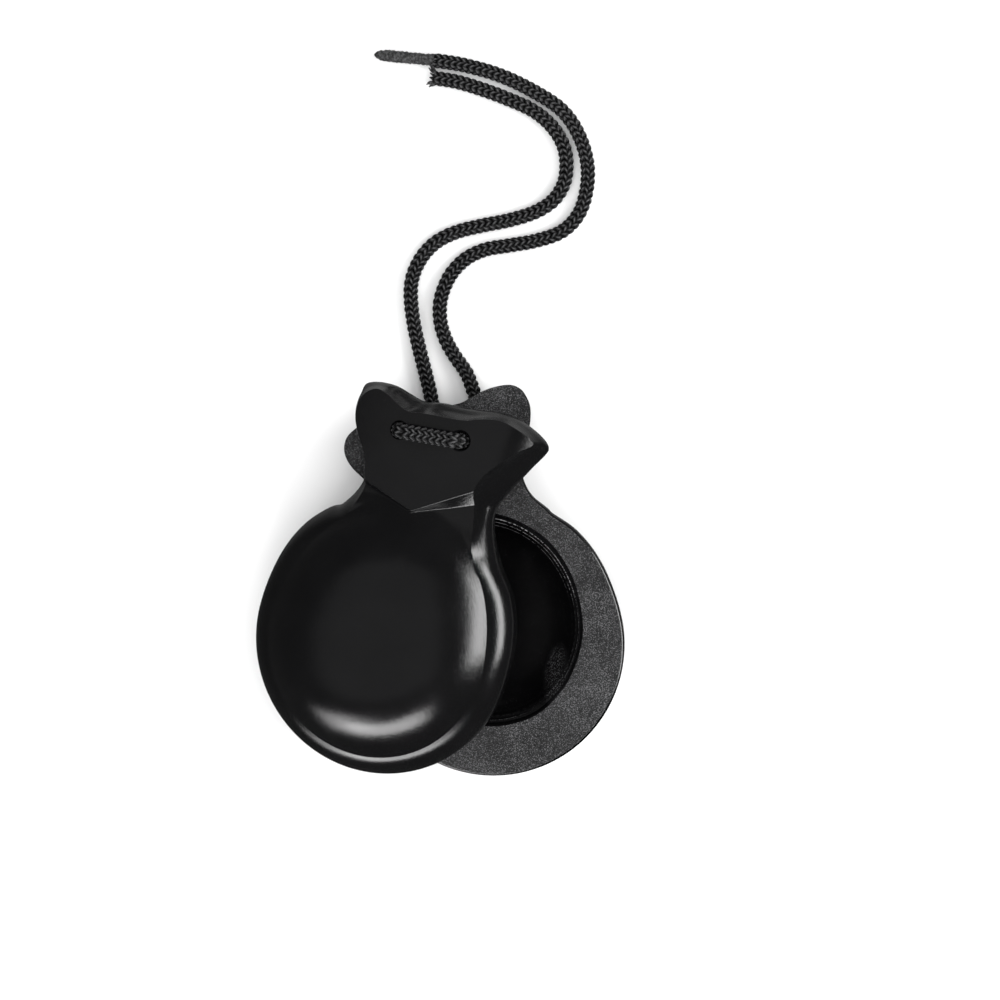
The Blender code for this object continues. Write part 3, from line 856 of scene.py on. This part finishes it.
def outside(bm, outline_right, outline_left, face_right):
    """The outside's rows, flat as yet, with a layer for what sets each point's height."""
    sources = bm.verts.layers.float_vector.new("height_source")
    rows = shell_rows(outline_right, outline_left, face_right)
    rings = []
    for index, row in enumerate(rows):
        ring = []
        for x, y, source_x, source_y, share in row.tolist():
            vertex = bm.verts.new((x * MM, y * MM, 0.0))
            vertex[sources] = (source_x, source_y, share)
            ring.append(vertex)
        rings.append(ring)
        if index:
            skin(bm, rings[-2], ring, 1 if index == 1 else 0)


def cut_line(bm, side, point, slope):
    """Cuts the faces beside the V's chin along an upright plane, so that vertices lie on its line."""
    faces = []
    for face in bm.faces:
        middle = face.calc_center_median()
        if side * (middle.x - CHIN[0] * MM) > 0 and 26 * MM < middle.y < 46 * MM:
            faces.append(face)
    edges = {edge for face in faces for edge in face.edges}
    vertices = {vertex for face in faces for vertex in face.verts}
    bmesh.ops.bisect_plane(
        bm,
        geom=[*vertices, *edges, *faces],
        dist=1e-7,
        plane_co=(point[0] * MM, point[1] * MM, 0),
        plane_no=Vector((-slope, 1, 0)).normalized() if slope is not None else (1, 0, 0),
    )


def cut_v(bm):
    """Cuts the flat rows along the lines of the V."""
    for side in (-1, 1):
        cut_line(bm, side, (CHIN[0] + side * 0.0001, CHIN[1]), None)
    for side, name in ((-1, "left"), (1, "right")):
        for offset in (-V_ROUNDING, 0.0, V_ROUNDING):
            cut_line(bm, side, (CHIN[0], CHIN[1] + offset), EDGE_SLOPES[name])
            cut_line(bm, side, (CHIN[0], CHIN[1] - CHIN_STEP + offset), FOOT_SLOPES[name])


def raise_outside(bm):
    """Lifts every point to its height."""
    sources = bm.verts.layers.float_vector["height_source"]
    wanted = np.array([tuple(vertex[sources]) for vertex in bm.verts])
    heights = height_over(wanted[:, 0], wanted[:, 1], wanted[:, 2])
    for vertex, height in zip(bm.verts, heights.tolist()):
        vertex.co.z = height * MM


def shell_mesh(outline_right, outline_left, face_right):
    """One closed skin: the outside, the inner face and the hollow, as yet without cord holes."""
    bm = bmesh.new()
    outside(bm, outline_right, outline_left, face_right)
    cut_v(bm)
    raise_outside(bm)
    bmesh.ops.remove_doubles(bm, verts=[v for v in bm.verts if abs(v.co.x) < 0.02 * MM], dist=0.03 * MM)
    open_edges = [edge for edge in bm.edges if edge.is_boundary and edge.verts[0].co.z < 1e-7]
    rows = hollow_rows()
    hollow = [add_ring(bm, row) for row in rows]
    first = rows[0].copy()
    first[:, 0] *= LIP_SHARE
    first[:, 1] = HOLLOW_Y + (first[:, 1] - HOLLOW_Y) * LIP_SHARE
    lip = add_ring(bm, first)
    skin(bm, hollow[0], lip, 1)
    for lower, upper in zip(hollow, hollow[1:]):
        skin(bm, upper, lower, 2)
    floor = bm.verts.new(Vector((0, HOLLOW_Y, HOLLOW_DEPTH)) * MM)
    for i in range(HOLLOW_SIDES):
        face = bm.faces.new((hollow[-1][(i + 1) % HOLLOW_SIDES], hollow[-1][i], floor))
        face.material_index = 2
        face.smooth = True
    for i, vertex in enumerate(lip):
        open_edges.append(bm.edges.get((vertex, lip[(i + 1) % len(lip)])))
    filled = bmesh.ops.triangle_fill(bm, edges=open_edges, use_beauty=True)
    for item in filled["geom"]:
        if isinstance(item, bmesh.types.BMFace):
            item.material_index = 1
            item.smooth = True
    bmesh.ops.recalc_face_normals(bm, faces=bm.faces)
    mesh = bpy.data.meshes.new("shell")
    bm.to_mesh(mesh)
    bm.free()
    mesh.attributes.remove(mesh.attributes["height_source"])
    for material in (LACQUER, INNER, HOLLOW):
        mesh.materials.append(material)
    return mesh


def hole_centres():
    """The two cord holes in the shell frame: left, right."""
    return [np.array((*HOLE_LEFT, 0.0)), np.array((*HOLE_RIGHT, 0.0))]


# The hole's wall: radius and height over the inner face, with rounded mouths at both faces
HOLE_PROFILE = (
    (3.1, -1.0), (2.8, -0.02), (2.5, 0.1), (2.3, 0.3), (2.2, 0.6), (1.98, 8.3), (2.0, 8.8), (2.06, 9.2),
    (2.16, 9.45), (2.32, 9.63), (2.6, 9.78), (3.2, 10.8),
)


def cut_holes(shell, place):
    """Cuts the two cord holes, with rounded mouths."""
    cutters = []
    for side, centre in zip(("left", "right"), hole_centres()):
        angle = 2 * np.pi * np.arange(HOLE_SIDES) / HOLE_SIDES
        vertices = []
        for radius, height in HOLE_PROFILE:
            ring = (radius * np.cos(angle), radius * np.sin(angle), np.full(HOLE_SIDES, height))
            vertices.append(np.column_stack(ring) + centre)
        vertices = np.vstack(vertices)
        faces = quads(len(HOLE_PROFILE), HOLE_SIDES)
        faces.append(tuple(reversed(range(HOLE_SIDES))))
        faces.append(tuple(range(len(vertices) - HOLE_SIDES, len(vertices))))
        cutter = mesh_object(shell.name + "_cutter_" + side, vertices, faces, [LACQUER], place)
        cut = shell.modifiers.new("hole_" + side, "BOOLEAN")
        cut.object = cutter
        cut.operation = "DIFFERENCE"
        cut.solver = "EXACT"
        cutters.append(cutter)
    bpy.context.view_layer.update()
    evaluated = shell.evaluated_get(bpy.context.evaluated_depsgraph_get())
    mesh = bpy.data.meshes.new_from_object(evaluated)
    shell.modifiers.clear()
    old = shell.data
    shell.data = mesh
    bpy.data.meshes.remove(old)
    for cutter in cutters:
        bpy.data.objects.remove(cutter)
    mesh.shade_smooth()
    mesh.set_sharp_from_angle(angle=math.radians(SHARP_DEGREES))


def make_shell(name, place, body, node, outline_right, outline_left, face_right):
    mesh = shell_mesh(outline_right, outline_left, face_right)
    mesh.transform(place)
    shell = bpy.data.objects.new(name, mesh)
    bpy.context.scene.collection.objects.link(shell)
    cut_holes(shell, place)
    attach(shell, body)
    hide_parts(node)
    return shell


BACK_OUTLINES = (BACK_OUTLINE_RIGHT, BACK_OUTLINE_LEFT, BACK_FACE_RIGHT)
FRONT_OUTLINES = (EAR_OUTLINE_RIGHT, EAR_OUTLINE_LEFT, EAR_FACE_RIGHT)
make_shell("lacquered_back_shell", back_place(), "back", "back_shell", *BACK_OUTLINES)
make_shell("lacquered_front_shell", front_place(), "front", "front_shell", *FRONT_OUTLINES)


# ---------------------------------------------------------------- cord in the shells


def to_world(place, point):
    """A shell-frame point in millimetres in the world, in millimetres."""
    return np.array(place @ (Vector(point) * MM)) / MM


def arc(centre, start, end, steps=8):
    """Points on a quarter turn about centre from start to end, both given as offsets."""
    angle = np.linspace(0, math.pi / 2, steps + 1)[:, None]
    return centre + start * np.cos(angle) + end * np.sin(angle)


STITCH_BEND = 2.3
PASSAGE_BEND = 4.2


def make_stitch():
    """The stitch: up through the front's left hole, across the plate and down the right hole."""
    left, right = hole_centres()
    across = (right - left) / np.linalg.norm(right - left)
    top = EAR_HEIGHT + CORD_DIAMETER / 2
    bend = UP * (top - STITCH_BEND)
    first = arc(left + bend + across * STITCH_BEND, -across * STITCH_BEND, UP * STITCH_BEND)
    second = arc(right + bend - across * STITCH_BEND, UP * STITCH_BEND, across * STITCH_BEND)
    points = np.vstack((left + UP * 0.3, left + UP * 3, first, second, right + UP * 3, right + UP * 0.3))
    place = front_place()
    points = np.array([to_world(place, point) for point in points])
    made, _ = braid("front_stitch", points, YARN, 0.4)
    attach(made, "front")
    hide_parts("cord_stitch")


def make_strand(side, front_hole, back_hole):
    """One strand between the ears, in two lengths that meet half-way."""
    top = to_world(front_place(), front_hole + UP * 2.0)
    top_leave = to_world(front_place(), front_hole - UP * 0.2)
    low = back_hole + UP * (SHELL_DEPTH - 2.0)
    low_leave = back_hole + UP * (SHELL_DEPTH + 0.2)
    line = even(spline((top, top_leave, low_leave, low), 12), 0.2)
    half = len(line) // 2
    upper, _ = braid("strand_upper_" + side, line[: half + 1], YARN, 0.1, ends=(True, False))
    lower, _ = braid("strand_lower_" + side, line[half:], YARN, 0.1, ends=(False, True))
    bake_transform(upper)
    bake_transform(lower)
    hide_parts("cord_link_" + side)


def make_passage(side, hole, path):
    """Down through a back hole and round under the ear, to the start of the tail."""
    onward = path[0]
    heading = path[3] - path[0]
    heading /= np.linalg.norm(heading)
    along = onward - hole
    along[2] = 0
    along /= np.linalg.norm(along)
    low = np.array((hole[0], hole[1], onward[2]))
    bend = low + (along + UP) * PASSAGE_BEND
    turn = arc(bend, -along * PASSAGE_BEND, -UP * PASSAGE_BEND)
    points = np.vstack((hole + UP * (SHELL_DEPTH - 0.3), turn, onward - heading, onward - heading * 0.05))
    made, _ = braid("passage_" + side, points, YARN, 0.2, ends=(True, False))
    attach(made, "back")
    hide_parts("cord_back_" + side)


def make_inner_cord():
    left, right = hole_centres()
    make_stitch()
    # The back shell lies face up, so its right hole is on the left.
    back_left = np.array((-right[0], right[1], 0.0))
    back_right = np.array((-left[0], left[1], 0.0))
    make_strand("left", left, back_left)
    make_strand("right", right, back_right)
    make_passage("left", back_left, short_path)
    make_passage("right", back_right, long_path)


make_inner_cord()


# ---------------------------------------------------------------- floor and light


def make_floor():
    """The pale floor, in metres; gloss doesn't show it."""
    size = 3.0
    vertices = [(-size, -size, 0), (size, -size, 0), (size, size, 0), (-size, size, 0)]
    floor = mesh_object("floor", np.array(vertices) / MM, [(0, 1, 2, 3)], [pale_floor()])
    floor.visible_glossy = False


def make_light(name, right, up, distance, width, height, power):
    """A soft panel that leans from straight up by these angles and faces the object."""
    data = bpy.data.lights.new(name, "AREA")
    data.shape = "RECTANGLE"
    data.size = width
    data.size_y = height
    data.energy = power
    light = bpy.data.objects.new(name, data)
    bpy.context.scene.collection.objects.link(light)
    direction = toward(right, up)
    turn = looking_along(-direction, picture_directions()[1])
    light.matrix_world = Matrix.Translation(CAMERA_TARGET + direction * distance) @ turn
    return light


def make_world(level, wall):
    """A dim room with a paler wall low down on the picture's top side."""
    world = bpy.data.worlds.new("studio")
    bpy.context.scene.world = world
    world.use_nodes = True
    tree = world.node_tree
    background = tree.nodes["Background"]
    background.inputs["Color"].default_value = (1, 1, 1, 1)
    place = tree.nodes.new("ShaderNodeTexCoord")
    toward_top = tree.nodes.new("ShaderNodeVectorMath")
    toward_top.operation = "DOT_PRODUCT"
    toward_top.inputs[1].default_value = (picture_directions()[1] * 0.9 - Vector((0, 0, 0.45)))[:]
    tree.links.new(place.outputs["Generated"], toward_top.inputs[0])
    shade = tree.nodes.new("ShaderNodeMapRange")
    shade.interpolation_type = "SMOOTHSTEP"
    shade.inputs["From Min"].default_value = 0.35
    shade.inputs["From Max"].default_value = 0.85
    shade.inputs["To Min"].default_value = level
    shade.inputs["To Max"].default_value = wall
    tree.links.new(toward_top.outputs["Value"], shade.inputs["Value"])
    tree.links.new(shade.outputs["Result"], background.inputs["Strength"])


# Lean to the right and to the top in degrees, distance, width and height in metres, power in watts
PANELS = {
    "overhead_panel": (-20, -6, 1.5, 1.4, 1.1, 0.9),
    "right_panel": (51, 2, 1.0, 0.37, 0.86, 11),
    "low_panel": (-25, -56, 1.1, 0.8, 0.26, 6),
    "low_left_panel": (-56, -61, 1.1, 0.5, 0.26, 2.0),
    "top_panel": (8, 76, 1.4, 1.2, 0.25, 1.2),
}
FILL_PANEL = (0, 0, 1.7, 2.2, 2.2, 38)
ROOM_LEVEL = 0.055
WALL_LEVEL = 0.3

make_floor()
make_world(ROOM_LEVEL, WALL_LEVEL)
make_light("fill_panel", *FILL_PANEL).visible_glossy = False
for panel, placing in PANELS.items():
    make_light(panel, *placing)

bpy.context.scene.view_settings.view_transform = "Standard"
